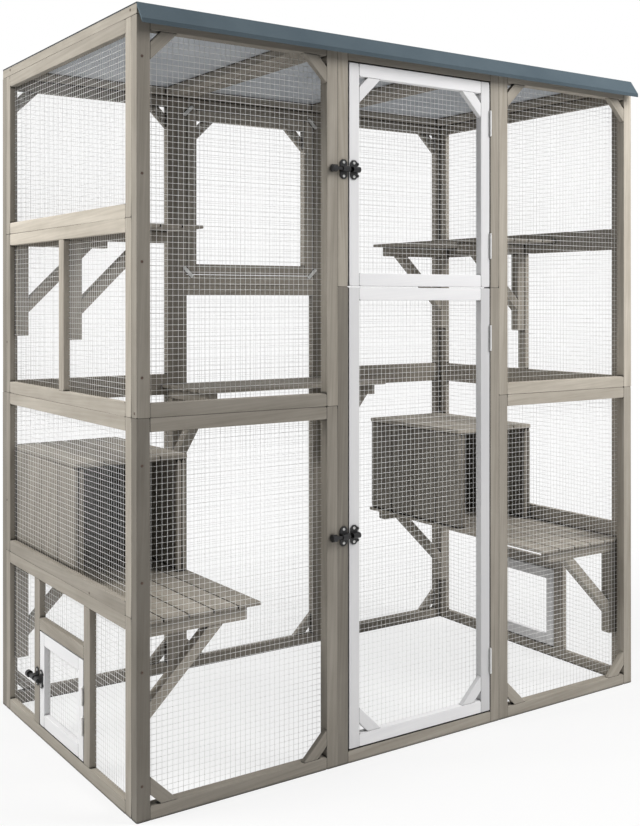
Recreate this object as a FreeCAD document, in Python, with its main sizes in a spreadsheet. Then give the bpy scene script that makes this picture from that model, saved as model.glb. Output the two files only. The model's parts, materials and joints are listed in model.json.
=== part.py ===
import FreeCAD, Part
import os
import re
import Sketcher

# Outdoor cat enclosure: timber frame panels with wire nets, two stacked doors,
# two pet doors, platforms, perches and plank houses. Millimetres, +Z up.
# The origin is the middle of the footprint, on the ground. -Y is the door side.

DRIVING_SIZES = {
    # walls
    "side_bay": 500.0,
    "door_bay": 500.0,
    "side_length": 832.0,
    "panel_height": 845.0,
    "timber": 28.0,
    "side_timber": 16.0,
    "stile": 30.0,
    "rail": 30.0,
    "side_stile": 32.0,
    "mullion": 33.0,
    # corner braces
    "brace_long": 63.0,
    "brace_short": 25.0,
    "brace_depth": 14.5,
    # wire nets, with every fourth wire of the half-inch mesh
    "net_pitch": 50.8,
    "net_wire": 1.2,
    "net_back": 2.6,
    # roof
    "roof_rail": 45.0,
    "roof_rim": 22.0,
    "roof_sheet": 3.0,
    "flap_out": 27.0,
    "flap_drop": 38.0,
    "flap_edge": 10.0,
    # doors
    "jamb": 29.0,
    "sill": 30.0,
    "head": 33.0,
    "door_gap": 3.0,
    "door_timber": 20.0,
    "door_split": 1124.0,
    "door_stile": 29.0,
    "door_rail": 31.0,
    "upper_hinge_inset": 106.0,
    "lower_hinge_inset": 128.0,
    "upper_latch_height": 1400.0,
    "lower_latch_height": 538.0,
    # pet doors
    "pet_offset": 271.0,
    "pet_width": 297.0,
    "pet_height": 238.0,
    "pet_mullion": 38.0,
    "pet_gap": 2.5,
    "pet_stile": 31.0,
    "pet_hinge_inset": 82.0,
    # back window panel
    "transom_height": 1107.0,
    "window_gap": 2.0,
    "clip_length": 36.0,
    "clip_width": 10.0,
    "clip_depth": 2.5,
    "clip_corner": 2.5,
    "clip_play": 0.3,
    "clip_out": 8.5,
    "clip_back": 17.0,
    "clip_pin": 2.2,
    "clip_pin_proud": 1.0,
    # hinges
    "hinge_height": 66.0,
    "pet_hinge_height": 42.0,
    "hinge_leaf": 13.0,
    "hinge_plate": 1.0,
    "hinge_barrel": 2.5,
    "hinge_pin": 1.2,
    "hinge_play": 0.08,
    "hinge_space": 0.3,
    "hinge_lug": 0.7,
    "lug_height": 3.0,
    # latches
    "latch_width": 20.0,
    "latch_height": 45.0,
    "latch_plate": 2.0,
    "latch_corner": 6.0,
    "latch_edge": 4.5,
    "latch_axis": 11.0,
    "latch_barrel": 6.5,
    "latch_travel": 16.0,
    "bolt_radius": 4.0,
    "bolt_play": 0.1,
    "bolt_inset": 2.5,
    "keeper_play": 0.5,
    "knob_radius": 8.5,
    "knob_length": 12.0,
    # platforms, perches and their brackets
    "slat_depth": 8.5,
    "slat_gap": 3.0,
    "slat_end_gap": 2.0,
    "bracket": 30.0,
    "strut_width": 26.0,
    "arm_inset": 12.0,
    "arm_setback": 30.0,
    "platform_drop": 12.5,
    "platform_reach": 297.0,
    "platform_leg": 177.0,
    "platform_batten": 233.0,
    "perch_rise": 7.5,
    "perch_reach": 282.0,
    "perch_length": 570.0,
    "perch_leg": 178.0,
    "perch_batten": 240.0,
    "back_perch_reach": 285.0,
    "back_perch_length": 600.0,
    "back_perch_leg": 190.0,
    "back_perch_batten": 215.0,
    # plank houses
    "house_width": 287.0,
    "house_length": 455.0,
    "house_height": 282.0,
    "house_board": 10.0,
    "house_lid": 12.0,
    "house_lip": 4.0,
    "house_strip": 14.0,
    "board_gap": 1.0,
}

# Places worked out from the driving sizes.
PLACES = {
    "half_width": "side_bay + door_bay/2",
    "door_edge": "door_bay/2",
    "front_in": "(flap_out - side_length)/2",
    "front": "front_in - timber",
    "back_in": "(flap_out + side_length)/2",
    "back": "back_in + timber",
    "wall_top": "2*panel_height",
    "side_height": "panel_height/2",
    "rim_top": "wall_top + roof_rim",
    "roof_top": "rim_top + roof_sheet",
    "door_left": "-door_edge + jamb + door_gap",
    "door_right": "door_edge - jamb - door_gap",
    "door_low": "sill + door_gap",
    "door_high": "wall_top - head - door_gap",
    "pet_front": "front_in + pet_offset",
    "pet_back": "pet_front + pet_width",
    "pet_low": "rail",
    "pet_high": "rail + pet_height",
    "wall_in": "half_width - side_timber",
    "window_side": "door_edge - stile - window_gap",
    "window_low": "transom_height + 2*rail + window_gap",
    "window_high": "wall_top - rail - window_gap",
    "hinge_stand": "hinge_barrel + hinge_space",
    "bolt_length": "latch_edge + latch_width + hinge_space + latch_travel + knob_length - bolt_inset",
    "platform_top": "side_height - platform_drop",
    "perch_top": "3*side_height + perch_rise",
    "back_perch_top": "panel_height",
    "house_floor": "platform_top",
    "house_back": "back_in - slat_end_gap",
    "house_top": "house_floor + house_height",
}

SLATS = 5
HOUSE_SIDE_BOARDS = 4
HOUSE_LID_BOARDS = 4
FRONT_SEAT = FreeCAD.Rotation()
LEFT_SEAT = FreeCAD.Rotation(FreeCAD.Vector(0, 0, 1), -90)
RIGHT_SEAT = FreeCAD.Rotation(FreeCAD.Vector(1, -1, 0), 180)

doc = FreeCAD.newDocument("cat_enclosure")
sheet = doc.addObject("Spreadsheet::Sheet", "Sizes")
for row, (alias, number) in enumerate(DRIVING_SIZES.items(), start=1):
    sheet.set(f"A{row}", alias)
    sheet.set(f"B{row}", str(number))
    sheet.setAlias(f"B{row}", alias)
doc.recompute()

nodes = []


def spell(formula):
    """Write a formula of size and place names as an expression on the sheet's cells."""
    def cell(match):
        word = match.group(0)
        if word in PLACES:
            return f"({spell(PLACES[word])})"
        return f"Sizes.{word}" if word in DRIVING_SIZES else word
    return re.sub(r"[a-z][a-z_]*", cell, str(formula))


def size(alias):
    """The number that a driving size has on the sheet."""
    return float(getattr(sheet, alias))


def bind(piece, **formulas):
    for name, formula in formulas.items():
        piece.setExpression(name, spell(formula))


def place(piece, x, y, z, turn=None):
    if turn is not None:
        piece.Placement = FreeCAD.Placement(FreeCAD.Vector(), turn)
    for axis, formula in zip("xyz", (x, y, z)):
        piece.setExpression(f"Placement.Base.{axis}", spell(formula))


def node(label, pieces):
    """One named sub-part made of separate solids."""
    group = doc.addObject("Part::Compound", label)
    group.Label = label
    group.Links = pieces
    nodes.append(group)
    return group


def single(label, piece):
    """One named sub-part that is a single solid."""
    piece.Label = label
    nodes.append(piece)
    return piece


def block(name, x, y, z):
    """A squared timber or board between three pairs of planes."""
    box = doc.addObject("Part::Box", name)
    for edge, (low, high) in zip(("Length", "Width", "Height"), (x, y, z)):
        box.setExpression(edge, spell(f"({high}) - ({low})"))
    place(box, x[0], y[0], z[0])
    return box


def round_bar(name, radius, length, x="0", y="0", z="0", turn=None):
    bar = doc.addObject("Part::Cylinder", name)
    bind(bar, Radius=radius, Height=length)
    place(bar, x, y, z, turn)
    return bar


def brace(name, plane, corner, into, legs, depth):
    """A mitred batten across a corner: legs are the long and short distances from the corner."""
    long_leg, short_leg = legs
    wedge = doc.addObject("Part::Wedge", name)
    edge = f"sqrt(2)*({long_leg})"
    across = f"(({long_leg}) - ({short_leg}))/sqrt(2)"
    bind(wedge, Xmin="0", Xmax=edge, Ymin="0", Ymax=across, Zmin="0", Zmax=depth, Z2min="0", Z2max=depth,
         X2min=across, X2max=f"({edge}) - ({across})")
    u, v = into
    x, y, z = corner
    if plane == "XZ":
        along = FreeCAD.Vector(v, 0, -u)
        out = FreeCAD.Vector(-u, 0, -v)
        thick = FreeCAD.Vector(0, 1, 0)
        x = f"({x}) - ({long_leg})*({v - u})/2"
        z = f"({z}) + ({long_leg})*({u + v})/2"
    else:
        along = FreeCAD.Vector(0, -v, u)
        out = FreeCAD.Vector(0, -u, -v)
        thick = FreeCAD.Vector(1, 0, 0)
        y = f"({y}) + ({long_leg})*({u + v})/2"
        z = f"({z}) - ({long_leg})*({u - v})/2"
    place(wedge, x, y, z, FreeCAD.Rotation(along, out, thick, "XYZ"))
    return wedge


class Frame:
    """Two full-height stiles with rails between them, in a wall that faces along X or along Y."""

    def __init__(self, name, wall, across, thick, rise, stile_width, rail_heights):
        low, high = across
        bottom, top = rise
        lower_rail, upper_rail = rail_heights
        inner = (f"({low}) + ({stile_width})", f"({high}) - ({stile_width})")
        self.name = name
        self.wall = wall
        self.thick = thick
        self.inner = inner
        self.light = (f"({bottom}) + ({lower_rail or 0})", f"({top}) - ({upper_rail})")
        self.first = self.timber("first_stile", (low, inner[0]), rise)
        self.last = self.timber("last_stile", (inner[1], high), rise)
        self.top = self.timber("top_rail", inner, (self.light[1], top))
        self.pieces = [self.first, self.last, self.top]
        if lower_rail:
            self.bottom = self.add("bottom_rail", inner, (bottom, self.light[0]))

    def timber(self, name, across, rise):
        spans = (across, self.thick) if self.wall == "XZ" else (self.thick, across)
        return block(f"{self.name}_{name}", *spans, rise)

    def add(self, name, across, rise):
        piece = self.timber(name, across, rise)
        self.pieces.append(piece)
        return piece

    def braces(self, edge, face):
        """Braces in both corners at the light's top or bottom edge."""
        height, down = (self.light[1], -1) if edge == "top" else (self.light[0], 1)
        for side, corner in ((1, self.inner[0]), (-1, self.inner[1])):
            self.pieces.append(brace(f"{self.name}_{edge}_brace", "XZ", (corner, face, height), (side, down),
                                     ("brace_long", "brace_short"), "brace_depth"))


def net(first, last, bottom, top, wall, outward):
    """Welded wires across the light between four timbers, the upright ones in front."""
    boxes = [timber.Shape.BoundBox for timber in (first, last, bottom, top)]
    low_z, high_z = boxes[2].ZMax, boxes[3].ZMin
    if wall == "XZ":
        low, high = boxes[0].XMax, boxes[1].XMin
        inner_face = boxes[0].YMax if outward < 0 else boxes[0].YMin
    else:
        low, high = boxes[0].YMax, boxes[1].YMin
        inner_face = boxes[0].XMax if outward < 0 else boxes[0].XMin
    wire = size("net_wire")
    crossing = inner_face + outward * (size("net_back") + wire)

    def bar(u, across, v, rise, layer):
        level = min(crossing, crossing + layer * wire)
        if wall == "XZ":
            return Part.makeBox(across, wire, rise, FreeCAD.Vector(u, level, v))
        return Part.makeBox(wire, across, rise, FreeCAD.Vector(level, u, v))

    columns = max(1, round((high - low) / size("net_pitch")))
    rows = max(1, round((high_z - low_z) / size("net_pitch")))
    uprights = [bar(low + (high - low) * step / columns - wire / 2, wire, low_z, high_z - low_z, outward)
                for step in range(1, columns)]
    levels = [bar(low, high - low, low_z + (high_z - low_z) * step / rows - wire / 2, wire, -outward)
              for step in range(1, rows)]
    return uprights + levels


def net_node(label, nets):
    piece = doc.addObject("Part::Feature", label)
    piece.Shape = Part.makeCompound([wire for wires in nets for wire in wires])
    nodes.append(piece)


def new_sketch(body, plane):
    sketch = body.newObject("Sketcher::SketchObject", f"{body.Name}_sketch")
    support = next(item for item in body.Origin.OriginFeatures if item.Role == plane)
    sketch.AttachmentSupport = [(support, "")]
    sketch.MapMode = "FlatFace"
    return sketch


def fix(sketch, geometry, point, u=None, v=None):
    """Hold a sketch point at a distance from the sketch origin."""
    for kind, axis, formula in (("DistanceX", -2, u), ("DistanceY", -1, v)):
        if formula == "0":
            sketch.addConstraint(Sketcher.Constraint("PointOnObject", geometry, point, axis))
        elif formula is not None:
            index = sketch.addConstraint(Sketcher.Constraint(kind, -1, 1, geometry, point, 1.0))
            sketch.setExpression(f"Constraints[{index}]", spell(formula))


def outline(sketch, corners):
    """A closed outline of straight edges through corners given as formulas."""
    flat = [FreeCAD.Vector(index, index * index, 0) for index in range(len(corners))]
    for index, start in enumerate(flat):
        sketch.addGeometry(Part.LineSegment(start, flat[(index + 1) % len(flat)]), False)
    for index in range(len(corners)):
        following = (index + 1) % len(corners)
        sketch.addConstraint(Sketcher.Constraint("Coincident", index, 2, following, 1))
    for index, (u, v) in enumerate(corners):
        fix(sketch, index, 1, u, v)


def clipped_outline(sketch, across, rise, corner):
    """A rectangle with its four corners cut off."""
    (left, right), (low, high) = across, rise
    outline(sketch, [
        (f"{left} + {corner}", low), (f"{right} - {corner}", low), (right, f"{low} + {corner}"),
        (right, f"{high} - {corner}"), (f"{right} - {corner}", high), (f"{left} + {corner}", high),
        (left, f"{high} - {corner}"), (left, f"{low} + {corner}")])


def pad(body, sketch, length, both_ways=False):
    feature = body.newObject("PartDesign::Pad", f"{body.Name}_pad")
    feature.Profile = sketch
    feature.Midplane = both_ways
    bind(feature, Length=length)
    return feature


def inward(side, near, far):
    """An X span given by two distances from the inner face of the left (-1) or right (1) wall."""
    if side < 0:
        return f"-wall_in + ({near})", f"-wall_in + ({far})"
    return f"wall_in - ({far})", f"wall_in - ({near})"


def seat_point(turn, x, y, z, along, out):
    """A point on a seat, moved along the seat and out of it."""
    if turn is FRONT_SEAT:
        return f"({x}) + ({along})", f"({y}) - ({out})", z
    if turn is LEFT_SEAT:
        return f"({x}) - ({out})", f"({y}) - ({along})", z
    return f"({x}) + ({out})", f"({y}) - ({along})", z


def circle(sketch, u, v, radius):
    ring = sketch.addGeometry(Part.Circle(FreeCAD.Vector(0, 0, 0), FreeCAD.Vector(0, 0, 1), 1), False)
    fix(sketch, ring, 3, u, v)
    index = sketch.addConstraint(Sketcher.Constraint("Radius", ring, 1.0))
    sketch.setExpression(f"Constraints[{index}]", spell(radius))


def latch_plate(name, bore):
    """A plate with clipped corners that carries a bored barrel on a saddle."""
    body = doc.addObject("PartDesign::Body", name)
    face = new_sketch(body, "XZ_Plane")
    clipped_outline(face, ("-latch_width/2", "latch_width/2"), ("-latch_height/2", "latch_height/2"), "latch_corner")
    pad(body, face, "latch_plate")
    saddle = new_sketch(body, "XZ_Plane")
    outline(saddle, [("-latch_width/2", "-latch_barrel"), ("latch_width/2", "-latch_barrel"),
                     ("latch_width/2", "latch_barrel"), ("-latch_width/2", "latch_barrel")])
    pad(body, saddle, "latch_axis")
    barrel = new_sketch(body, "YZ_Plane")
    circle(barrel, "-latch_axis", "0", "latch_barrel")
    pad(body, barrel, "latch_width", both_ways=True)
    hole = new_sketch(body, "YZ_Plane")
    circle(hole, "-latch_axis", "0", bore)
    pocket = body.newObject("PartDesign::Pocket", f"{name}_bore")
    pocket.Profile = hole
    pocket.Midplane = True
    bind(pocket, Length="2*latch_width")
    return body


def latch_bolt(name):
    """A round bolt with a turned knob on its outer end."""
    body = doc.addObject("PartDesign::Body", name)
    profile = new_sketch(body, "XY_Plane")
    outline(profile, [
        ("0", "0"), ("bolt_length", "0"), ("bolt_length", "bolt_radius"), ("knob_length", "bolt_radius"),
        ("knob_length", "knob_radius"), ("0", "knob_radius")])
    turned = body.newObject("PartDesign::Revolution", f"{name}_turned")
    turned.Profile = profile
    turned.ReferenceAxis = (profile, ["H_Axis"])
    turned.Angle = 360.0
    return body


def fixed_leaf(name, height, gap):
    """The frame's hinge leaf: a plate in the door gap with a lug at each end that holds the pin."""
    half = f"({height})/2"
    plate_x = (f"{gap}/2 - hinge_plate", f"{gap}/2")
    solids = [block(f"{name}_plate", plate_x, ("hinge_stand", "hinge_stand + hinge_leaf"), (f"-{half}", half)),
              round_bar(f"{name}_pin", "hinge_pin", f"({height})", z=f"-{half}")]
    reach = "hinge_pin + hinge_lug"
    for zone in ((f"-{half}", f"lug_height - {half}"), (f"{half} - lug_height", half)):
        solids.append(block(f"{name}_lug", (f"-({reach})", f"{gap}/2"), (f"-({reach})", reach), zone))
        solids.append(block(f"{name}_web", plate_x, ("0", "hinge_stand"), zone))
    return fused(name, solids)


def door_leaf(name, height, gap):
    """The door's hinge leaf: a plate in the door gap with a barrel that turns on the pin."""
    half = f"(({height})/2 - lug_height - hinge_space)"
    rise = (f"-{half}", half)
    plate_x = (f"-{gap}/2", f"hinge_plate - {gap}/2")
    solids = [block(f"{name}_plate", plate_x, ("0", "hinge_stand + hinge_leaf"), rise),
              round_bar(f"{name}_barrel", "hinge_barrel", f"2*{half}", z=f"-{half}")]
    bored = doc.addObject("Part::Cut", name)
    bored.Base = fused(f"{name}_joined", solids)
    bored.Tool = round_bar(f"{name}_bore", "hinge_pin + hinge_play", f"{height}", z=f"-({height})/2")
    return bored


def fused(name, solids):
    joined = doc.addObject("Part::MultiFuse", name)
    joined.Shapes = solids
    joined.Refine = True
    return joined


# Front wall.
front_panels = {}
for name, span in (("left", ("-half_width", "-door_edge")), ("right", ("door_edge", "half_width"))):
    lower = Frame(f"front_{name}_lower", "XZ", span, ("front", "front_in"), ("0", "panel_height"),
                  "stile", ("rail", "rail"))
    lower.braces("bottom", "front")
    upper = Frame(f"front_{name}_upper", "XZ", span, ("front", "front_in"), ("panel_height", "wall_top"),
                  "stile", ("rail", "rail"))
    upper.braces("top", "front")
    front_panels[name] = (lower, upper)
    node(f"front_{name}_frames", lower.pieces + upper.pieces)

front_depth = ("front", "front_in")
jambs = []
for name, span in (("left", ("-door_edge", "-door_edge + jamb")), ("right", ("door_edge - jamb", "door_edge"))):
    jambs.append(block(f"{name}_lower_jamb", span, front_depth, ("0", "door_split")))
    jambs.append(block(f"{name}_upper_jamb", span, front_depth, ("door_split", "wall_top")))
between_jambs = ("-door_edge + jamb", "door_edge - jamb")
jambs.append(block("door_sill", between_jambs, front_depth, ("0", "sill")))
jambs.append(block("door_head", between_jambs, front_depth, ("wall_top - head", "wall_top")))
node("door_jambs", jambs)

# Side walls, with the pet door opening in the bottom panel.
side_panels = {}
middle = "(front_in + back_in)/2"
for name, depth in (("left", ("-half_width", "-wall_in")), ("right", ("wall_in", "half_width"))):
    panels = [Frame(f"{name}_panel_{level}", "YZ", ("front_in", "back_in"), depth,
                    (f"{level}*side_height", f"{level + 1}*side_height"), "side_stile", ("rail", "rail"))
              for level in range(4)]
    bottom = panels[0]
    bottom.front_mullion = bottom.add("front_mullion", ("pet_front - pet_mullion", "pet_front"), bottom.light)
    bottom.back_mullion = bottom.add("back_mullion", ("pet_back", "pet_back + pet_mullion"), bottom.light)
    bottom.cross_rail = bottom.add("cross_rail", ("pet_front", "pet_back"), ("pet_high", "pet_high + rail"))
    third = panels[2]
    third.mullion = third.add("mullion", (f"{middle} - mullion/2", f"{middle} + mullion/2"), third.light)
    side_panels[name] = panels
    node(f"{name}_bottom_frame", bottom.pieces)
    node(f"{name}_upper_frames", [piece for panel in panels[1:] for piece in panel.pieces])

# Back wall, with the removable window panel in its centre bay.
back_depth = ("back_in", "back")
back_face = "back - brace_depth"
back_panels = {}
for name, span in (("left", ("-half_width", "-door_edge")), ("right", ("door_edge", "half_width"))):
    lower = Frame(f"back_{name}_lower", "XZ", span, back_depth, ("0", "panel_height"), "stile", ("rail", "rail"))
    lower.braces("bottom", back_face)
    upper = Frame(f"back_{name}_upper", "XZ", span, back_depth, ("panel_height", "wall_top"),
                  "stile", ("rail", "rail"))
    upper.braces("top", back_face)
    back_panels[name] = (lower, upper)
    node(f"back_{name}_frames", lower.pieces + upper.pieces)

centre_lower = Frame("back_centre_lower", "XZ", ("-door_edge", "door_edge"), back_depth, ("0", "panel_height"),
                     "stile", ("rail", "rail"))
centre_lower.braces("bottom", back_face)
centre_upper = Frame("back_centre_upper", "XZ", ("-door_edge", "door_edge"), back_depth,
                     ("panel_height", "wall_top"), "stile", (None, "rail"))
transom = centre_upper.add("transom", centre_upper.inner, ("transom_height", "transom_height + rail"))
centre_upper.add("window_sill", centre_upper.inner, ("transom_height + rail", "transom_height + 2*rail"))
node("back_centre_frames", centre_lower.pieces + centre_upper.pieces)

window = Frame("window", "XZ", ("-window_side", "window_side"), back_depth, ("window_low", "window_high"),
               "stile", ("rail", "rail"))
window.braces("top", back_face)
node("window_frame", window.pieces)

# Roof.
roof_rails = []
for name, low, high in (("left", "-half_width", "-door_edge"), ("centre", "-door_edge", "door_edge"),
                        ("right", "door_edge", "half_width")):
    rim = ("wall_top", "rim_top")
    inside = (f"({low}) + roof_rail", f"({high}) - roof_rail")
    roof_rails.append(block(f"roof_{name}_first_rail", (low, inside[0]), ("front", "back"), rim))
    roof_rails.append(block(f"roof_{name}_last_rail", (inside[1], high), ("front", "back"), rim))
    roof_rails.append(block(f"roof_{name}_front_rail", inside, ("front", "front + roof_rail"), rim))
    roof_rails.append(block(f"roof_{name}_back_rail", inside, ("back - roof_rail", "back"), rim))
node("roof_frames", roof_rails)
single("roof_sheet", block("roof_sheet", ("-half_width", "half_width"), ("front", "back"), ("rim_top", "roof_top")))

flap = doc.addObject("PartDesign::Body", "roof_flap")
flap_profile = new_sketch(flap, "YZ_Plane")
outline(flap_profile, [("0", "0"), ("flap_out", "flap_drop"), ("flap_out", "flap_drop + flap_edge"),
                       ("0", "flap_edge")])
pad(flap, flap_profile, "2*half_width")
place(flap, "-half_width", "front - flap_out", "roof_top - flap_drop - flap_edge")
single("roof_flap", flap)

# Doors.
door_depth = ("front", "front + door_timber")
upper_door = Frame("upper_door", "XZ", ("door_left", "door_right"), door_depth,
                   ("door_split + door_gap/2", "door_high"), "door_stile", ("door_rail", "door_rail"))
upper_door.braces("top", "front")
node("upper_door_frame", upper_door.pieces)
lower_door = Frame("lower_door", "XZ", ("door_left", "door_right"), door_depth,
                   ("door_low", "door_split - door_gap/2"), "door_stile", ("door_rail", "door_rail"))
lower_door.braces("bottom", "front")
node("lower_door_frame", lower_door.pieces)
pet_doors = {}
for name, depth in (("left", ("-half_width", "-wall_in")), ("right", ("wall_in", "half_width"))):
    pet = Frame(f"{name}_pet_door", "YZ", ("pet_front + pet_gap", "pet_back - pet_gap"), depth,
                ("pet_low + pet_gap", "pet_high - pet_gap"), "pet_stile", ("pet_stile", "pet_stile"))
    pet_doors[name] = pet
    node(f"{name}_pet_door_frame", pet.pieces)


def slat_spans(reach):
    """Distances of each slat's two edges from the wall."""
    width = f"(({reach}) - {SLATS - 1}*slat_gap)/{SLATS}"
    return [(f"{index}*({width} + slat_gap)", f"{index}*({width} + slat_gap) + {width}") for index in range(SLATS)]


def side_shelf(side, name, top, reach, leg, batten, run, bracket_starts):
    """Slats that run front to back on bracketed arms. Gives the slats and the bracket pieces."""
    slats = [block(f"{name}_slat", inward(side, near, far), run, (f"{top} - slat_depth", top))
             for near, far in slat_spans(reach)]
    arm_low = f"{top} - slat_depth - bracket"
    pieces = []
    for start in bracket_starts:
        across = (start, f"({start}) + bracket")
        pieces.append(block(f"{name}_arm", inward(side, "0", f"{reach} - arm_setback"), across,
                            (arm_low, f"{top} - slat_depth")))
        pieces.append(block(f"{name}_batten", inward(side, "0", "bracket"), across,
                            (f"{arm_low} - {batten}", arm_low)))
        corner = "-wall_in + bracket" if side < 0 else "wall_in - bracket"
        pieces.append(brace(f"{name}_strut", "XZ", (corner, start, arm_low), (-side, -1),
                            (leg, f"{leg} - sqrt(2)*strut_width"), "bracket"))
    return slats, pieces


# Platforms and upper perches on the side walls.
back_bracket = "back_in - slat_end_gap - arm_inset - bracket"
for side, name in ((-1, "left"), (1, "right")):
    platform, platform_brackets = side_shelf(
        side, f"{name}_platform", "platform_top", "platform_reach", "platform_leg", "platform_batten",
        ("front_in + slat_end_gap", "back_in - slat_end_gap"),
        ("front_in + slat_end_gap + arm_inset", back_bracket))
    perch, perch_brackets = side_shelf(
        side, f"{name}_perch", "perch_top", "perch_reach", "perch_leg", "perch_batten",
        ("back_in - slat_end_gap - perch_length", "back_in - slat_end_gap"),
        (f"{middle} - bracket/2", back_bracket))
    node(f"{name}_platform_slats", platform)
    node(f"{name}_perch_slats", perch)
    node(f"{name}_brackets", platform_brackets + perch_brackets)

# Perch on the back wall.
back_slats = [block("back_perch_slat", ("-back_perch_length/2", "back_perch_length/2"),
                    (f"back_in - ({far})", f"back_in - ({near})"),
                    ("back_perch_top - slat_depth", "back_perch_top"))
              for near, far in slat_spans("back_perch_reach")]
node("back_perch_slats", back_slats)
back_arm_low = "back_perch_top - slat_depth - bracket"
back_brackets = []
for centre in ("-door_edge - stile/2", "door_edge + stile/2"):
    across = (f"{centre} - bracket/2", f"{centre} + bracket/2")
    back_brackets.append(block("back_perch_arm", across, ("back_in - back_perch_reach + arm_setback", "back_in"),
                               (back_arm_low, "back_perch_top - slat_depth")))
    back_brackets.append(block("back_perch_batten", across, ("back_in - bracket", "back_in"),
                               (f"{back_arm_low} - back_perch_batten", back_arm_low)))
    back_brackets.append(brace("back_perch_strut", "YZ", (across[0], "back_in - bracket", back_arm_low), (-1, -1),
                               ("back_perch_leg", "back_perch_leg - sqrt(2)*strut_width"), "bracket"))
node("back_brackets", back_brackets)

# Plank houses on the platforms, open to the front.
house_front = "house_back - house_length"
house_far = "slat_end_gap + house_width"
side_board = f"(house_length - {HOUSE_SIDE_BOARDS - 1}*board_gap)/{HOUSE_SIDE_BOARDS}"
lid_board = f"(house_width + house_lip - {HOUSE_LID_BOARDS - 1}*board_gap)/{HOUSE_LID_BOARDS}"
house_rise = ("house_floor", "house_top")
for side, name in ((-1, "left"), (1, "right")):
    boards = []
    for near, far in (("slat_end_gap", "slat_end_gap + house_board"), (f"{house_far} - house_board", house_far)):
        for index in range(HOUSE_SIDE_BOARDS):
            start = f"{house_front} + {index}*({side_board} + board_gap)"
            boards.append(block(f"{name}_house_side_board", inward(side, near, far),
                                (start, f"{start} + {side_board}"), house_rise))
    inner_near = "slat_end_gap + house_board"
    inner_far = f"{house_far} - house_board"
    boards.append(block(f"{name}_house_back_board", inward(side, inner_near, inner_far),
                        ("house_back - house_board", "house_back"), house_rise))
    for near, far in ((inner_near, f"{inner_near} + house_strip"), (f"{inner_far} - house_strip", inner_far)):
        boards.append(block(f"{name}_house_front_strip", inward(side, near, far),
                            (house_front, f"{house_front} + house_board"), house_rise))
    node(f"{name}_house_walls", boards)
    lid = []
    for index in range(HOUSE_LID_BOARDS):
        near = f"slat_end_gap + {index}*({lid_board} + board_gap)"
        lid.append(block(f"{name}_house_lid_board", inward(side, near, f"{near} + {lid_board}"),
                         (f"{house_front} - house_lip", "house_back"), ("house_top", "house_top + house_lid")))
    node(f"{name}_house_lid", lid)

# Hinges: each door has two, and their fixed leaves, with the pins, stay with the frame.
door_hinge_x = "door_right + door_gap/2"
pet_hinge_y = "pet_front + pet_gap/2"
upper_hinges = ("door_split + door_gap/2 + upper_hinge_inset", "door_high - upper_hinge_inset")
lower_hinges = ("door_low + lower_hinge_inset", "door_split - door_gap/2 - lower_hinge_inset")
pet_hinges = ("pet_low + pet_gap + pet_hinge_inset", "pet_high - pet_gap - pet_hinge_inset")
hinge_sets = (
    ("upper_door", FRONT_SEAT, "door_gap", "hinge_height", (door_hinge_x, "front - hinge_stand"), upper_hinges),
    ("lower_door", FRONT_SEAT, "door_gap", "hinge_height", (door_hinge_x, "front - hinge_stand"), lower_hinges),
    ("left_pet_door", LEFT_SEAT, "pet_gap", "pet_hinge_height", ("-half_width - hinge_stand", pet_hinge_y),
     pet_hinges),
    ("right_pet_door", RIGHT_SEAT, "pet_gap", "pet_hinge_height", ("half_width + hinge_stand", pet_hinge_y),
     pet_hinges),
)
fixed_leaves = []
for name, turn, gap, height, (x, y), levels in hinge_sets:
    door_leaves = []
    for z in levels:
        fixed_leaves.append(fixed_leaf(f"{name}_fixed_leaf", height, gap))
        place(fixed_leaves[-1], x, y, z, turn)
        door_leaves.append(door_leaf(f"{name}_leaf", height, gap))
        place(door_leaves[-1], x, y, z, turn)
    node(f"{name}_hinge_leaves", door_leaves)
node("fixed_hinge_leaves", fixed_leaves)

# Latches: the housing is on the frame, the keeper on the door, and the bolt rests drawn back.
latch_x = "door_left - door_gap/2"
pet_latch_y = "pet_back - pet_gap/2"
pet_middle = "pet_low + pet_height/2"
latch_sets = (
    ("upper_door", FRONT_SEAT, latch_x, "front", "upper_latch_height"),
    ("lower_door", FRONT_SEAT, latch_x, "front", "lower_latch_height"),
    ("left_pet_door", LEFT_SEAT, "-half_width", pet_latch_y, pet_middle),
    ("right_pet_door", RIGHT_SEAT, "half_width", pet_latch_y, pet_middle),
)
plate_centre = "latch_edge + latch_width/2"
housings = []
for name, turn, x, y, z in latch_sets:
    housing = latch_plate(f"{name}_latch_housing", "bolt_radius + bolt_play")
    place(housing, *seat_point(turn, x, y, z, f"-({plate_centre})", "0"), turn)
    housings.append(housing)
    keeper = latch_plate(f"{name}_latch_keeper", "bolt_radius + keeper_play")
    place(keeper, *seat_point(turn, x, y, z, plate_centre, "0"), turn)
    single(f"{name}_latch_keeper", keeper)
    bolt = latch_bolt(f"{name}_latch_bolt")
    place(bolt, *seat_point(turn, x, y, z, "-bolt_inset - bolt_length", "latch_axis"), turn)
    single(f"{name}_latch_bolt", bolt)
node("latch_housings", housings)

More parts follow.
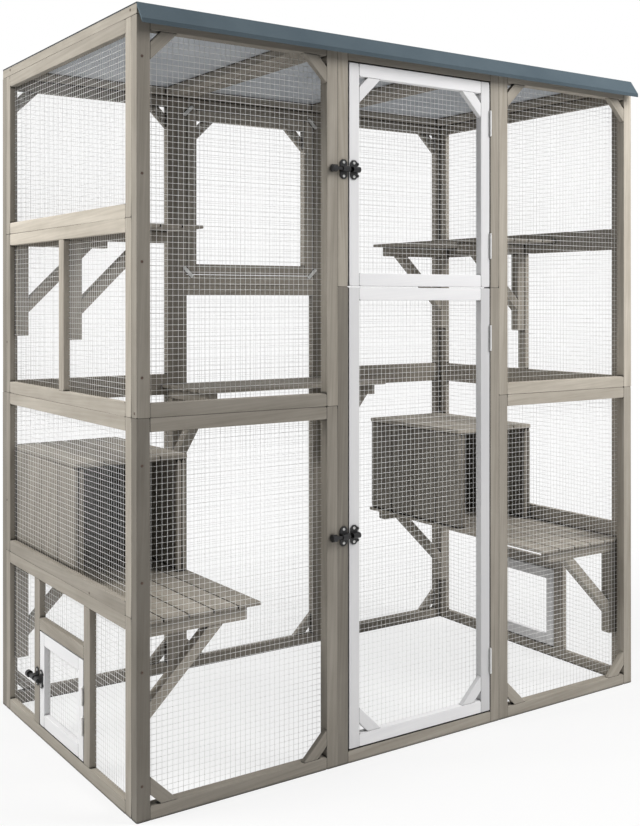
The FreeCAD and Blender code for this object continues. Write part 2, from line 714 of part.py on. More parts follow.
# Turn clips across the corners of the window panel, on pins in the back frame.
clip_face = "back_in - clip_play"
clip_pins = []
for level, edge, rise in (("top", "window_high - clip_back", 1), ("bottom", "window_low + clip_back", -1)):
    for name, side in (("left", -1), ("right", 1)):
        x = f"{side}*(window_side + clip_out)"
        clip = doc.addObject("PartDesign::Body", f"{level}_{name}_clip")
        shape = new_sketch(clip, "XZ_Plane")
        clipped_outline(shape, ("-clip_width/2", "clip_width/2"), ("-clip_width/2", "clip_length"), "clip_corner")
        circle(shape, "0", "0", "clip_pin + hinge_play")
        pad(clip, shape, "clip_depth")
        lean = -side * (45 if rise > 0 else 135)
        place(clip, x, clip_face, edge, FreeCAD.Rotation(FreeCAD.Vector(0, 1, 0), lean))
        single(f"{level}_{name}_clip", clip)
        clip_pins.append(round_bar("clip_pin", "clip_pin", "clip_play + clip_depth + clip_pin_proud", x, "back_in",
                                   edge, FreeCAD.Rotation(FreeCAD.Vector(1, 0, 0), 90)))
node("clip_pins", clip_pins)

doc.recompute()

# Nets in every light.
front_nets = [net(panel.first, panel.last, panel.bottom, panel.top, "XZ", -1)
              for pair in front_panels.values() for panel in pair]
net_node("front_nets", front_nets)
for name, outward in (("left", -1), ("right", 1)):
    bottom, second, third, fourth = side_panels[name]
    nets = [net(panel.first, panel.last, panel.bottom, panel.top, "YZ", outward) for panel in (second, fourth)]
    nets.append(net(third.first, third.mullion, third.bottom, third.top, "YZ", outward))
    nets.append(net(third.mullion, third.last, third.bottom, third.top, "YZ", outward))
    nets.append(net(bottom.first, bottom.front_mullion, bottom.bottom, bottom.top, "YZ", outward))
    nets.append(net(bottom.back_mullion, bottom.last, bottom.bottom, bottom.top, "YZ", outward))
    nets.append(net(bottom.front_mullion, bottom.back_mullion, bottom.cross_rail, bottom.top, "YZ", outward))
    net_node(f"{name}_nets", nets)
    pet = pet_doors[name]
    net_node(f"{name}_pet_door_net", [net(pet.first, pet.last, pet.bottom, pet.top, "YZ", outward)])
back_nets = [net(panel.first, panel.last, panel.bottom, panel.top, "XZ", 1)
             for panel in (*back_panels["left"], *back_panels["right"], centre_lower)]
back_nets.append(net(centre_upper.first, centre_upper.last, centre_lower.top, transom, "XZ", 1))
net_node("back_nets", back_nets)
for label, panel, outward in (("window_net", window, 1), ("upper_door_net", upper_door, -1),
                              ("lower_door_net", lower_door, -1)):
    net_node(label, [net(panel.first, panel.last, panel.bottom, panel.top, "XZ", outward)])

doc.recompute()
for item in doc.Objects:
    if "Invalid" in item.State or "Error" in item.State:
        raise RuntimeError(f"{item.Label} failed: {item.State}")
for item in nodes:
    if item.Shape.isNull() or not item.Shape.isValid():
        raise RuntimeError(f"{item.Label} has no valid shape")

os.makedirs("parts", exist_ok=True)
for item in nodes:
    item.Shape.exportStep(f"parts/{item.Label}.step")
print(len(nodes), "nodes,", sum(len(item.Shape.Solids) for item in nodes), "solids")
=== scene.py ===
import json
import math
import random

import bmesh
import bpy
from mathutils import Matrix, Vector


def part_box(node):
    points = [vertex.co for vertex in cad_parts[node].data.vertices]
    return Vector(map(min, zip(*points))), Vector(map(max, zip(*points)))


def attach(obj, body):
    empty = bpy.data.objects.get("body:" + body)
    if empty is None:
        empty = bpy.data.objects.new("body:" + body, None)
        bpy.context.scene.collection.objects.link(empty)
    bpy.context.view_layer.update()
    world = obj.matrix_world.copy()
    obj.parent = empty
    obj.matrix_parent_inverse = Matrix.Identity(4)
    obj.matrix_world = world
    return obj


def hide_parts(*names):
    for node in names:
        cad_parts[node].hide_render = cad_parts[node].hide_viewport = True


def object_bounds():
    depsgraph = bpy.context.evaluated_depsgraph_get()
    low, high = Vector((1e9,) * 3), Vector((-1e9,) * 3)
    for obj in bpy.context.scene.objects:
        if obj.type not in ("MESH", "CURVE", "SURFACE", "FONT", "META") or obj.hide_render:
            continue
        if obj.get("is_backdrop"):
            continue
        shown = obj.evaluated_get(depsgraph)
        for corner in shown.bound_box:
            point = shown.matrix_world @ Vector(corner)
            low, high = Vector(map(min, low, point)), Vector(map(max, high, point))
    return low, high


# The outdoor cat enclosure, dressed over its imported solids. Metres, +Z up, doors towards -Y.

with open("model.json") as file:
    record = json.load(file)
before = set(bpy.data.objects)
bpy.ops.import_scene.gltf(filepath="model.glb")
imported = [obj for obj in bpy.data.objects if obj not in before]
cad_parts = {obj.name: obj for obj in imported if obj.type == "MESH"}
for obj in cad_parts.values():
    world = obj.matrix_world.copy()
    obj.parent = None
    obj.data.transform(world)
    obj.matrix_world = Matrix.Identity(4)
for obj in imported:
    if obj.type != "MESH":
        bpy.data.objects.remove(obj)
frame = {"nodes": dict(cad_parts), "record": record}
cad_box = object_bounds()
nodes = frame["nodes"]
body_of = {node: body for body, members in frame["record"]["behaviour"]["bodies"].items() for node in members}
slot_of = {part["node"]: part["material_slot"] for part in frame["record"]["subparts"]}

WHITE = (1, 1, 1, 1)


def srgb(red, green, blue):
    """A colour read from a picture, 0 to 255, as the linear colour that a shader takes."""
    linear = []
    for value in (red, green, blue):
        value /= 255
        linear.append(value / 12.92 if value <= 0.04045 else ((value + 0.055) / 1.055) ** 2.4)
    return (*linear, 1.0)


class Graph:
    """The nodes of one material or world, built link by link."""

    def __init__(self, owner):
        owner.use_nodes = True
        self.owner = owner
        self.tree = owner.node_tree
        self.tree.nodes.clear()

    def put(self, value, socket):
        if isinstance(value, bpy.types.NodeSocket):
            self.tree.links.new(value, socket)
        else:
            socket.default_value = value

    def add(self, kind, inputs=None, **settings):
        node = self.tree.nodes.new(kind)
        for key, value in settings.items():
            setattr(node, key, value)
        for key, value in (inputs or {}).items():
            self.put(value, node.inputs[key])
        return node

    def noise(self, place, scale, detail, roughness):
        inputs = {"Vector": place, "Scale": scale, "Detail": detail, "Roughness": roughness}
        return self.add("ShaderNodeTexNoise", inputs).outputs["Fac"]

    def grain(self, place, cycles, detail, roughness):
        """Noise drawn out along a timber, from its cycles in a metre along and across the grain."""
        drawn_out = self.add("ShaderNodeMapping", {"Vector": place, "Scale": cycles}).outputs["Vector"]
        return self.noise(drawn_out, 1.0, detail, roughness)

    def remap(self, value, source, target):
        inputs = {"Value": value, "From Min": source[0], "From Max": source[1],
                  "To Min": target[0], "To Max": target[1]}
        return self.add("ShaderNodeMapRange", inputs).outputs["Result"]

    def math(self, operation, first, second):
        return self.add("ShaderNodeMath", {0: first, 1: second}, operation=operation).outputs[0]

    def weigh(self, *shares):
        """The sum of some values, each times its share."""
        total = None
        for value, share in shares:
            part = self.math("MULTIPLY", value, share)
            total = part if total is None else self.math("ADD", total, part)
        return total

    def blend(self, factor, first, second, mode="MIX"):
        mix = self.add("ShaderNodeMix", data_type="RGBA", blend_type=mode)
        colours = [socket for socket in mix.inputs if socket.type == "RGBA"]
        factors = [socket for socket in mix.inputs if socket.name == "Factor" and socket.type == "VALUE"]
        for value, socket in ((factor, factors[0]), (first, colours[0]), (second, colours[1])):
            self.put(value, socket)
        return next(socket for socket in mix.outputs if socket.type == "RGBA")

    def shaded(self, colour, value):
        """A colour times a grey value."""
        grey = self.add("ShaderNodeCombineColor", {"Red": value, "Green": value, "Blue": value})
        return self.blend(1.0, colour, grey.outputs["Color"], "MULTIPLY")

    def painted_crevice_shade(self, distance, darkest):
        """Painted shade: a value below 1 in joints and narrow gaps, up to a distance across, where nearby
        surfaces hide the surround.
        """
        occlusion = self.add("ShaderNodeAmbientOcclusion", {"Distance": distance}, samples=6).outputs["AO"]
        return self.remap(occlusion, (0.52, 0.95), (darkest, 1.0))

    def bump(self, height, strength, distance):
        inputs = {"Height": height, "Strength": strength, "Distance": distance}
        return self.add("ShaderNodeBump", inputs).outputs["Normal"]

    def place(self):
        return self.add("ShaderNodeTexCoord").outputs["Object"]

    def timber_place(self):
        """A place in the timber's own coordinates, with x along its grain."""
        return self.add("ShaderNodeAttribute", attribute_name="grain").outputs["Vector"]

    def timber_tone_and_painted_light(self):
        """A factor on the timber's colour: mostly painted light and shade, partly the finish's own differences
        in tone.
        """
        return self.add("ShaderNodeAttribute", attribute_name="tone_and_painted_light").outputs["Fac"]

    def background_rays(self):
        """1 for the rays that see a plain white surround: to the camera, off gloss or through glass."""
        path = self.add("ShaderNodeLightPath").outputs
        seen = self.math("MAXIMUM", path["Is Camera Ray"], path["Is Glossy Ray"])
        return self.math("MAXIMUM", seen, path["Is Transmission Ray"])

    def principled(self, inputs):
        return self.finish(self.add("ShaderNodeBsdfPrincipled", inputs).outputs["BSDF"])

    def finish(self, surface, output="ShaderNodeOutputMaterial"):
        self.add(output, {"Surface": surface})
        return self.owner


def stained_wood(name, dark, light):
    graph = Graph(bpy.data.materials.new(name))
    place = graph.timber_place()
    broad = graph.grain(place, cycles=(1.6, 26, 26), detail=3.0, roughness=0.5)
    streak = graph.grain(place, cycles=(3.5, 170, 170), detail=4.0, roughness=0.6)
    pores = graph.grain(place, cycles=(28, 1500, 1500), detail=2.0, roughness=0.5)
    blotch = graph.grain(place, cycles=(7, 18, 18), detail=4.0, roughness=0.65)
    tone = graph.weigh((broad, 0.42), (streak, 0.36), (blotch, 0.22))
    colour = graph.blend(graph.remap(tone, (0.36, 0.64), (0.0, 1.0)), dark, light)
    colour = graph.blend(graph.remap(pores, (0.62, 0.74), (0.0, 0.22)), colour, dark)
    # Painted light and shade for each timber, with a little real tone that differs at random.
    colour = graph.shaded(colour, graph.timber_tone_and_painted_light())
    # Painted shade: the joints, the gaps between slats and the grooves of eased edges are darkened.
    colour = graph.shaded(colour, graph.painted_crevice_shade(distance=0.007, darkest=0.02))
    height = graph.weigh((streak, 0.6), (pores, 0.4))
    return graph.principled({
        "Base Color": colour,
        "Roughness": graph.remap(streak, (0.3, 0.7), (0.62, 0.78)),
        "Normal": graph.bump(height, strength=0.35, distance=0.0006),
        "Specular IOR Level": 0.3,
    })


def white_paint(name, pale, cool):
    graph = Graph(bpy.data.materials.new(name))
    place = graph.timber_place()
    brush = graph.grain(place, cycles=(5, 420, 420), detail=3.0, roughness=0.5)
    broad = graph.grain(place, cycles=(4, 22, 22), detail=2.0, roughness=0.5)
    tone = graph.weigh((brush, 0.35), (broad, 0.65))
    colour = graph.blend(graph.remap(tone, (0.35, 0.65), (0.0, 1.0)), cool, pale)
    # Painted light and shade for each door timber, with a little real tone that differs at random.
    colour = graph.shaded(colour, graph.timber_tone_and_painted_light())
    # Painted shade: the joints and the gaps round the door timbers are darkened.
    colour = graph.shaded(colour, graph.painted_crevice_shade(distance=0.006, darkest=0.35))
    return graph.principled({
        "Base Color": colour,
        "Roughness": graph.remap(brush, (0.3, 0.7), (0.42, 0.52)),
        "Normal": graph.bump(brush, strength=0.18, distance=0.0004),
        "Specular IOR Level": 0.4,
    })


def sheet_felt(name, dark, light, grit):
    """A roof sheet with a fine mineral grit, given as its share of the tone."""
    graph = Graph(bpy.data.materials.new(name))
    place = graph.place()
    fine = graph.noise(place, scale=900.0, detail=3.0, roughness=0.6)
    broad = graph.noise(place, scale=7.0, detail=3.0, roughness=0.5)
    tone = graph.weigh((fine, grit), (broad, 1.0 - grit))
    return graph.principled({
        "Base Color": graph.blend(graph.remap(tone, (0.36, 0.64), (0.0, 1.0)), dark, light),
        "Roughness": graph.remap(fine, (0.3, 0.7), (0.70, 0.88)),
        "Normal": graph.bump(fine, strength=0.3, distance=0.0005),
        "Specular IOR Level": 0.25,
    })


def metal(name, dark, light, metallic, roughness, speckle):
    """Plated or painted metal with a faint cast or spangle, which makes it up to 0.06 rougher or smoother."""
    graph = Graph(bpy.data.materials.new(name))
    spangle = graph.noise(graph.place(), scale=speckle, detail=2.0, roughness=0.5)
    return graph.principled({
        "Base Color": graph.blend(graph.remap(spangle, (0.35, 0.65), (0.0, 1.0)), dark, light),
        "Metallic": metallic,
        "Roughness": graph.remap(spangle, (0.3, 0.7), (roughness - 0.06, roughness + 0.06)),
        "Normal": graph.bump(spangle, strength=0.12, distance=0.0002),
    })


STAIN = stained_wood("grey_brown_stain", srgb(134, 128, 118), srgb(166, 160, 150))
PAINT = white_paint("satin_white_paint", srgb(232, 232, 233), srgb(224, 224, 226))
SLATE = sheet_felt("slate_roof_felt", srgb(67, 79, 87), srgb(83, 95, 102), 0.6)
UNDERSIDE = sheet_felt("pale_roof_underside", srgb(185, 191, 199), srgb(200, 205, 211), 0.3)
SHEET_RIM = sheet_felt("dark_sheet_rim", srgb(34, 38, 42), srgb(50, 55, 60), 0.6)
GALVANISED = metal("galvanised_wire", srgb(240, 240, 239), srgb(249, 249, 248), 0.45, 0.38, 160.0)
BLACK = metal("black_enamel", srgb(16, 16, 17), srgb(28, 28, 30), 0.0, 0.40, 420.0)
WHITE_METAL = metal("white_enamel", srgb(226, 226, 226), srgb(240, 240, 240), 0.0, 0.38, 420.0)
ZINC = metal("zinc_plate", srgb(186, 186, 184), srgb(216, 216, 214), 0.85, 0.34, 260.0)
BROWN_STEEL = metal("brown_screw_steel", srgb(74, 60, 52), srgb(104, 86, 76), 0.4, 0.45, 600.0)

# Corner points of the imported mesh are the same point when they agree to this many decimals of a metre.
DECIMALS = 5


def corner(point):
    return tuple(round(value, DECIMALS) for value in point)


def solids_of(node):
    """The closed solids of a node, each as a list of faces given by their corner points."""
    mesh = nodes[node].data
    open_edges = set()
    faces = []
    for polygon in mesh.polygons:
        points = [corner(mesh.vertices[index].co) for index in polygon.vertices]
        faces.append(points)
        for start, end in zip(points, points[1:] + points[:1]):
            open_edges ^= {frozenset((start, end))}
        if not open_edges:
            yield faces
            faces = []


def box_of(faces):
    points = [point for face in faces for point in face]
    low = Vector([min(point[axis] for point in points) for axis in range(3)])
    high = Vector([max(point[axis] for point in points) for axis in range(3)])
    return low, high


def grain_axes(solid):
    """The direction of a timber's longest edge, and two directions across it."""
    longest = max(solid.edges, key=lambda edge: edge.calc_length())
    along = (longest.verts[1].co - longest.verts[0].co).normalized()
    if max(along, key=abs) < 0:
        along = -along
    flanks = [face for face in solid.faces if abs(face.normal.dot(along)) < 0.5]
    across = max(flanks, key=lambda face: face.calc_area()).normal.copy()
    return along, across, along.cross(across)


class Piece:
    """Mesh data that is gathered part by part and then made into one object."""

    def __init__(self, name):
        self.name = name
        self.points = []
        self.faces = []
        self.finishes = []
        self.grain = []
        self.tone_and_painted_light = []

    def add(self, points, faces, finishes=None, grain=None, tone_and_painted_light=1.0):
        start = len(self.points)
        self.points.extend(points)
        self.faces.extend([[start + index for index in face] for face in faces])
        self.finishes.extend(finishes or [0] * len(faces))
        self.grain.extend(grain or points)
        self.tone_and_painted_light.extend([tone_and_painted_light] * len(points))

    def make(self, materials, body, slot, replaced=(), smooth=False):
        mesh = bpy.data.meshes.new(self.name)
        mesh.from_pydata(self.points, [], self.faces)
        for material in materials:
            mesh.materials.append(material)
        mesh.polygons.foreach_set("material_index", self.finishes)
        grain = mesh.attributes.new("grain", "FLOAT_VECTOR", "POINT")
        grain.data.foreach_set("vector", [value for point in self.grain for value in point])
        tone_and_painted_light = mesh.attributes.new("tone_and_painted_light", "FLOAT", "POINT")
        tone_and_painted_light.data.foreach_set("value", self.tone_and_painted_light)
        if smooth:
            mesh.shade_smooth()
        mesh.update()
        piece = bpy.data.objects.new(self.name, mesh)
        bpy.context.scene.collection.objects.link(piece)
        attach(piece, body)
        if replaced:
            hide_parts(*replaced)


# How far the edges of a timber, a house board, a painted timber and a sheet are eased.
WOOD_EDGE = 0.0017
BOARD_EDGE = 0.0032
PAINT_EDGE = 0.0018
SHEET_EDGE = 0.0009
EDGE_STEPS = 2
EDGE_ROUNDNESS = 0.6
FLAT_ANGLE = math.radians(2)


def eased(faces, edge):
    """A solid's faces with its flat faces made whole and its edges eased."""
    solid = bmesh.new()
    places = {}
    for face in faces:
        for point in face:
            if point not in places:
                places[point] = solid.verts.new(point)
    for face in faces:
        solid.faces.new([places[point] for point in face])
    bmesh.ops.dissolve_limit(solid, angle_limit=FLAT_ANGLE, verts=solid.verts, edges=solid.edges)
    solid.normal_update()
    axes = grain_axes(solid)
    bmesh.ops.bevel(solid, geom=solid.edges[:], offset=edge, offset_type="OFFSET", segments=EDGE_STEPS,
                    profile=EDGE_ROUNDNESS, affect="EDGES", clamp_overlap=True)
    solid.verts.index_update()
    points = [vertex.co.copy() for vertex in solid.verts]
    outlines = [[vertex.index for vertex in face.verts] for face in solid.faces]
    solid.free()
    return points, outlines, axes


# A factor on each timber's colour, mostly painted light and shade and partly the finish's own differences:
# paler where more light fell, darker where shade fell, on a node's timbers, and on the odd ones by their number
# in the node. The spreads are real tone that differs at random.
WOOD_SPREAD = 0.06
PAINT_SPREAD = 0.006
TONE_AND_PAINTED_LIGHT = {
    "front_left_frames": 0.84,
    "front_right_frames": 1.20,
    "left_upper_frames": 1.12,
    "left_house_walls": 0.88,
    "left_house_lid": 0.85,
    "left_platform_slats": 0.94,
    "right_house_walls": 0.82,
    "right_house_lid": 1.40,
    "right_platform_slats": 1.20,
    "back_left_frames": 0.77,
    "back_centre_frames": 0.88,
    "back_right_frames": 0.88,
    "back_perch_slats": 0.80,
}
ODD_TONE_AND_PAINTED_LIGHT = {
    "door_jambs": {0: 0.70, 1: 1.33, 3: 1.12, 4: 1.17},
    "front_left_frames": {0: 0.60, 1: 0.78, 2: 0.85, 3: 0.87, 6: 0.78, 7: 1.03, 9: 0.85},
    "front_right_frames": {0: 1.01, 2: 1.51, 3: 1.15, 6: 1.28, 7: 1.55, 9: 1.51},
    "left_upper_frames": {1: 0.93, 2: 1.23, 3: 0.88, 4: 1.31, 5: 0.93, 6: 1.50, 7: 1.23, 10: 0.93, 11: 0.94,
                          12: 1.50},
    "left_bottom_frame": {3: 1.05},
    "back_centre_frames": {1: 0.75, 7: 0.75, 9: 1.15, 10: 1.15},
    "back_right_frames": {0: 0.73, 1: 0.73, 6: 0.73, 7: 0.73},
    "upper_door_frame": {1: 0.93, 2: 1.12, 3: 1.10},
    "lower_door_frame": {0: 0.92, 1: 0.80, 2: 1.10, 3: 1.12},
}
# Each timber takes its grain from another place in the noise, up to this many metres off.
GRAIN_SHIFT = 40


# Timbers: every stick and board gets eased edges, its own grain and its own colour factor of painted light and
# shade with a little real tone.
def dress_timbers(node, material, edge, spread):
    plain = TONE_AND_PAINTED_LIGHT.get(node, 1.0)
    odd = ODD_TONE_AND_PAINTED_LIGHT.get(node, {})
    piece = Piece(f"{node}_timbers")
    for index, faces in enumerate(solids_of(node)):
        points, outlines, axes = eased(faces, edge)
        chance = random.Random(f"{node} {index}")
        shift = [chance.uniform(-GRAIN_SHIFT, GRAIN_SHIFT) for _ in axes]
        grain = [tuple(point.dot(axis) + off for axis, off in zip(axes, shift)) for point in points]
        # Painted light and shade from the tables, with a random spread of real tone.
        shade = odd.get(index, plain) + chance.uniform(-spread, spread)
        piece.add([tuple(point) for point in points], outlines, grain=grain, tone_and_painted_light=shade)
    piece.make([material], body_of[node], slot_of[node], [node])


for node in sorted(nodes):
    if slot_of[node] == "stained_wood":
        dress_timbers(node, STAIN, BOARD_EDGE if "house" in node else WOOD_EDGE, WOOD_SPREAD)
    elif slot_of[node] == "white_wood":
        dress_timbers(node, PAINT, PAINT_EDGE, PAINT_SPREAD)

# Welded wire mesh: straight wires in two layers, in each light that holds wires of the net.
MESH_PITCH = 0.0127
UPRIGHT_WIRE = 0.00032
LEVEL_WIRE = 0.00042
WIRE_JITTER = 0.0001
WIRE_SIDES = 6
TOUCH = 0.0003


def lights_of(node):
    """The boxes of a node's nets, each the joined box of the wires that touch."""
    boxes = []
    for faces in solids_of(node):
        low, high = box_of(faces)
        apart = []
        for other_low, other_high in boxes:
            if all(low[k] - TOUCH < other_high[k] and other_low[k] - TOUCH < high[k] for k in range(3)):
                low = Vector([min(low[k], other_low[k]) for k in range(3)])
                high = Vector([max(high[k], other_high[k]) for k in range(3)])
            else:
                apart.append((other_low, other_high))
        boxes = [*apart, (low, high)]
    return boxes


def spokes(along, count):
    """Directions round a line, evenly apart."""
    side = along.orthogonal().normalized()
    up = along.cross(side)
    turns = [2 * math.pi * step / count for step in range(count)]
    return [side * math.cos(turn) + up * math.sin(turn) for turn in turns]


def wire(piece, start, end, radius):
    """One straight wire with closed ends."""
    start, end = Vector(start), Vector(end)
    around = spokes((end - start).normalized(), WIRE_SIDES)
    points = [tuple(at + spoke * radius) for at in (start, end) for spoke in around]
    faces = []
    for step in range(WIRE_SIDES):
        after = (step + 1) % WIRE_SIDES
        faces.append([step, after, WIRE_SIDES + after, WIRE_SIDES + step])
    faces.append(list(range(WIRE_SIDES))[::-1])
    faces.append(list(range(WIRE_SIDES, 2 * WIRE_SIDES)))
    piece.add(points, faces)


def dress_net(node):
    piece = Piece(f"{node}_welded_mesh")
    for index, (low, high) in enumerate(lights_of(node)):
        chance = random.Random(f"{node} {index}")
        size = high - low
        flat = 1 if size.y < size.x else 0
        wide = 1 - flat
        outward = -1 if low[flat] < 0 else 1
        middle = (low[flat] + high[flat]) / 2
        columns = round(size[wide] / MESH_PITCH)
        rows = round(size.z / MESH_PITCH)
        for step in range(1, columns):
            start = low.copy()
            start[flat] = middle + outward * UPRIGHT_WIRE
            start[wide] += size[wide] * step / columns + chance.uniform(-WIRE_JITTER, WIRE_JITTER)
            wire(piece, start, (start.x, start.y, high.z), UPRIGHT_WIRE)
        for step in range(1, rows):
            start = low.copy()
            start[flat] = middle - outward * LEVEL_WIRE
            start.z += size.z * step / rows + chance.uniform(-WIRE_JITTER, WIRE_JITTER)
            end = start.copy()
            end[wide] = high[wide]
            wire(piece, start, end, LEVEL_WIRE)
    piece.make([GALVANISED], body_of[node], slot_of[node], [node], smooth=True)


for node in sorted(nodes):
    if slot_of[node] == "wire_mesh":
        dress_net(node)

# Roof: the sheet is slate above, pale below and dark round its rim, and its front flap is slate all round.
ABOVE, BELOW, RIM = range(3)
ABOVE_SLOPE = 0.95
BELOW_SLOPE = -0.9


def dress_sheet(node, name, materials):
    piece = Piece(name)
    for faces in solids_of(node):
        points, outlines, _ = eased(faces, SHEET_EDGE)
        finishes = []
        for outline in outlines:
            first, second, third = (points[index] for index in outline[:3])
            slope = (second - first).cross(third - second).normalized().z
            finishes.append(ABOVE if slope > ABOVE_SLOPE else BELOW if slope < BELOW_SLOPE else RIM)
        piece.add([tuple(point) for point in points], outlines, finishes)
    piece.make(materials, "frame", "roof_sheet", [node])


dress_sheet("roof_sheet", "roof_covering", [SLATE, UNDERSIDE, SHEET_RIM])
dress_sheet("roof_flap", "roof_front_flap", [SLATE, SLATE, SLATE])

# Hinges, latches and clips keep their solids and take their metals.
METALS = {"hinge_metal": WHITE_METAL, "latch_metal": BLACK, "clip_metal": ZINC}
for node, finish in slot_of.items():
    if finish in METALS:
        nodes[node].material_slots[0].material = METALS[finish]

# Screw heads: a domed rim round a sunken drive, as shares of a head's radius and rise, and those of each kind.
HEAD = ((0.0, 0.30), (0.34, 0.30), (0.46, 0.92), (0.70, 0.80), (0.93, 0.45), (1.0, 0.0))
HEAD_SIDES = 14
WOOD_HEAD = (0.0031, 0.0007)
PLATE_HEAD = (0.0036, 0.0013)
STUD_HEAD = (0.0034, 0.0042)
CLIP_HEAD = (0.0038, 0.0014)


def screw_head(piece, place, facing, head):
    """A closed head at a place, turned about the way that it faces."""
    place, facing = Vector(place), Vector(facing)
    radius, rise = head
    around = spokes(facing, HEAD_SIDES)
    points = [tuple(place + facing * (rise * HEAD[0][1]))]
    for reach, height in HEAD[1:]:
        points.extend(tuple(place + spoke * (radius * reach) + facing * (rise * height)) for spoke in around)
    faces = [[0, 1 + step, 1 + (step + 1) % HEAD_SIDES] for step in range(HEAD_SIDES)]
    for ring in range(len(HEAD) - 2):
        inner = 1 + ring * HEAD_SIDES
        outer = inner + HEAD_SIDES
        for step in range(HEAD_SIDES):
            after = (step + 1) % HEAD_SIDES
            faces.append([inner + step, outer + step, outer + after, inner + after])
    faces.append(list(range(len(points) - HEAD_SIDES, len(points)))[::-1])
    piece.add(points, faces)


# Wood screws: up the left corner stile of both front panels, and about the joints of the side panels.
front_low, front_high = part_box("front_left_frames")
FRONT = front_low.y
SIDE = abs(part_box("left_upper_frames")[0].x)
PANEL = front_high.z / 2
CORNER_SCREWS = ((0.0, (0.076, 0.314, 0.501, 0.746)), (PANEL, (0.085, 0.328, 0.513, 0.758)))
CORNER_EDGE = 0.012
SIDE_SCREWS = ((0.012, 0.855), (0.264, 0.428), (0.852, 0.557), (0.852, 0.980), (0.034, 1.704), (0.826, 1.704))

frame_screws = Piece("frame_wood_screws")
for base, heights in CORNER_SCREWS:
    for height in heights:
        screw_head(frame_screws, (CORNER_EDGE - SIDE, FRONT, base + height), (0, -1, 0), WOOD_HEAD)
for side in (-1, 1):
    for behind, height in SIDE_SCREWS:
        screw_head(frame_screws, (side * SIDE, FRONT + behind, height), (side, 0, 0), WOOD_HEAD)
frame_screws.make([BROWN_STEEL], "frame", "stained_wood", smooth=True)

# Latch plates: two bright screws in each plate, and two dark studs beyond the keeper's far edge.
PLATE = 0.002
LATCH_SCREW = 0.016
STUD = 0.0138
STUD_GAP = 0.001


def is_in_front(low):
    """Whether a latch plate is on the front wall, going by its box's low corner."""
    return low.y < FRONT


def pair_of_heads(piece, low, high, across, standing, apart, head):
    """A head above and one below the barrel, standing off the wall, at a place across it."""
    in_front = is_in_front(low)
    side = -1 if low.x < 0 else 1
    facing = (0, -1, 0) if in_front else (side, 0, 0)
    wall = FRONT - standing if in_front else (SIDE + standing) * side
    for way in (-1, 1):
        height = (low.z + high.z) / 2 + way * apart
        place = (across, wall, height) if in_front else (wall, across, height)
        screw_head(piece, place, facing, head)


def plate_screws(piece, low, high):
    axis = 0 if is_in_front(low) else 1
    pair_of_heads(piece, low, high, (low[axis] + high[axis]) / 2, PLATE, LATCH_SCREW, PLATE_HEAD)


housing_screws = Piece("latch_housing_screws")
for faces in solids_of("latch_housings"):
    plate_screws(housing_screws, *box_of(faces))
housing_screws.make([ZINC], "frame", "latch_metal", smooth=True)

for door in ("upper_door", "lower_door", "left_pet_door", "right_pet_door"):
    low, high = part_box(f"{door}_latch_keeper")
    keeper_screws = Piece(f"{door}_keeper_screws")
    plate_screws(keeper_screws, low, high)
    keeper_screws.make([ZINC], door, "latch_metal", smooth=True)
    keeper_studs = Piece(f"{door}_keeper_studs")
    far_edge = high.x + STUD_GAP if is_in_front(low) else low.y - STUD_GAP
    pair_of_heads(keeper_studs, low, high, far_edge, 0.0, STUD, STUD_HEAD)
    keeper_studs.make([BLACK], door, "latch_metal", smooth=True)

# Clip screws over the pins.
clip_screws = Piece("clip_screws")
for faces in solids_of("clip_pins"):
    low, high = box_of(faces)
    screw_head(clip_screws, ((low.x + high.x) / 2, low.y, (low.z + high.z) / 2), (0, -1, 0), CLIP_HEAD)
clip_screws.make([ZINC], "frame", "clip_metal", smooth=True)

# Stage: a white floor that shows the object's shadow and fades to plain white further out.
FLOOR_REACH = 40
FLOOR_GREY = (0.72, 0.72, 0.72, 1)
FADE = (1.1, 2.2)
FADE_SHARES = (0.78, 1.0)


def floor_material():
    graph = Graph(bpy.data.materials.new("white_floor"))
    distance = graph.add("ShaderNodeVectorMath", {0: graph.place()}, operation="LENGTH").outputs["Value"]
    away = graph.remap(distance, FADE, FADE_SHARES)
    near = graph.add("ShaderNodeBsdfDiffuse", {"Color": FLOOR_GREY}).outputs["BSDF"]
    far = graph.add("ShaderNodeEmission", {"Color": WHITE, "Strength": 1.0}).outputs["Emission"]
    share = graph.math("MULTIPLY", graph.background_rays(), away)
    return graph.finish(graph.add("ShaderNodeMixShader", {0: share, 1: near, 2: far}).outputs["Shader"])


floor_mesh = bpy.data.meshes.new("floor")
floor_corners = [(x * FLOOR_REACH, y * FLOOR_REACH, 0) for x, y in ((-1, -1), (1, -1), (1, 1), (-1, 1))]
floor_mesh.from_pydata(floor_corners, [], [[0, 1, 2, 3]])
floor_mesh.materials.append(floor_material())
floor = bpy.data.objects.new("floor", floor_mesh)
bpy.context.scene.collection.objects.link(floor)
floor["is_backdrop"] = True

# Light: a white surround, a broad key from the left, a smaller one from the front right and a soft one above.
AMBIENT = (0.96, 0.98, 1.0, 1)
AMBIENT_STRENGTH = 0.19
studio = Graph(bpy.data.worlds.new("studio"))
ambient = studio.add("ShaderNodeBackground", {"Color": AMBIENT, "Strength": AMBIENT_STRENGTH}).outputs[0]
surround = studio.add("ShaderNodeBackground", {"Color": WHITE, "Strength": 1.0}).outputs[0]
choice = studio.add("ShaderNodeMixShader", {0: studio.background_rays(), 1: ambient, 2: surround})
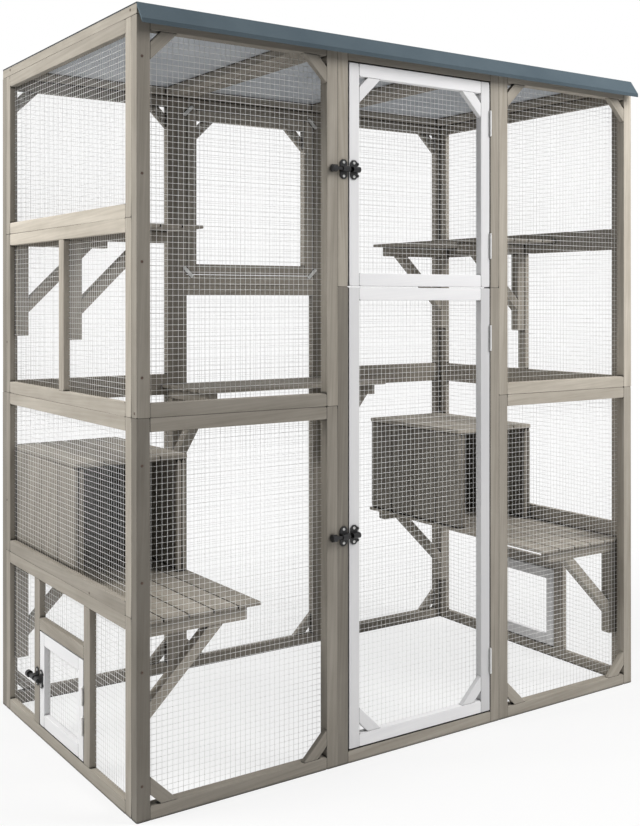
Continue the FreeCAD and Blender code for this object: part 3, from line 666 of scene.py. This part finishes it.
bpy.context.scene.world = studio.finish(choice.outputs[0], "ShaderNodeOutputWorld")


def lamp(name, place, target, size, power, colour):
    """A square lamp that neither the camera nor a reflection sees."""
    light = bpy.data.lights.new(name, "AREA")
    light.shape = "SQUARE"
    light.size = size
    light.energy = power
    light.color = colour
    holder = bpy.data.objects.new(name, light)
    bpy.context.scene.collection.objects.link(holder)
    holder.location = place
    holder.rotation_euler = (Vector(target) - Vector(place)).to_track_quat("-Z", "Y").to_euler()
    holder.visible_camera = False
    holder.visible_glossy = False


lamp("key_left", (-3.0, 0.5, 3.2), (-0.75, 0.0, 1.0), size=1.8, power=140, colour=(1.0, 0.99, 0.97))
lamp("key_right", (2.0, -2.21, 3.1), (0.6, -0.43, 1.0), size=1.7, power=122, colour=(1.0, 0.985, 0.97))
lamp("top", (0, 0, 4.6), (0, 0, 0), size=3.0, power=55, colour=(1.0, 1.0, 1.0))

# Camera at the photograph's place: level, looking past the left corner of the doors' wall. The image, the focal
# length and the point that the camera looks at are in pixels of the photograph.
IMAGE = (640, 826)
FOCUS = 1149.0
PRINCIPAL = (400.0, 299.0)
SENSOR = 36.0
CAMERA_PLACE = (-1.726, -2.6836, 1.095)
CAMERA_AIM = (0.5924, 0.8056, 0.0)
camera = bpy.data.objects.new("camera", bpy.data.cameras.new("camera"))
bpy.context.scene.collection.objects.link(camera)
camera.location = CAMERA_PLACE
camera.rotation_euler = Vector(CAMERA_AIM).to_track_quat("-Z", "Y").to_euler()
camera.data.sensor_fit = "AUTO"
camera.data.sensor_width = SENSOR
camera.data.lens = SENSOR * FOCUS / IMAGE[1]
camera.data.shift_x = (IMAGE[0] / 2 - PRINCIPAL[0]) / IMAGE[1]
camera.data.shift_y = (PRINCIPAL[1] - IMAGE[1] / 2) / IMAGE[1]
camera.data.clip_end = 200.0
bpy.context.scene.camera = camera
bpy.context.scene.view_settings.view_transform = "Standard"

boxes = {"cad": cad_box, "visual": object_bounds()}
{name: [list(point) for point in box] for name, box in boxes.items()}
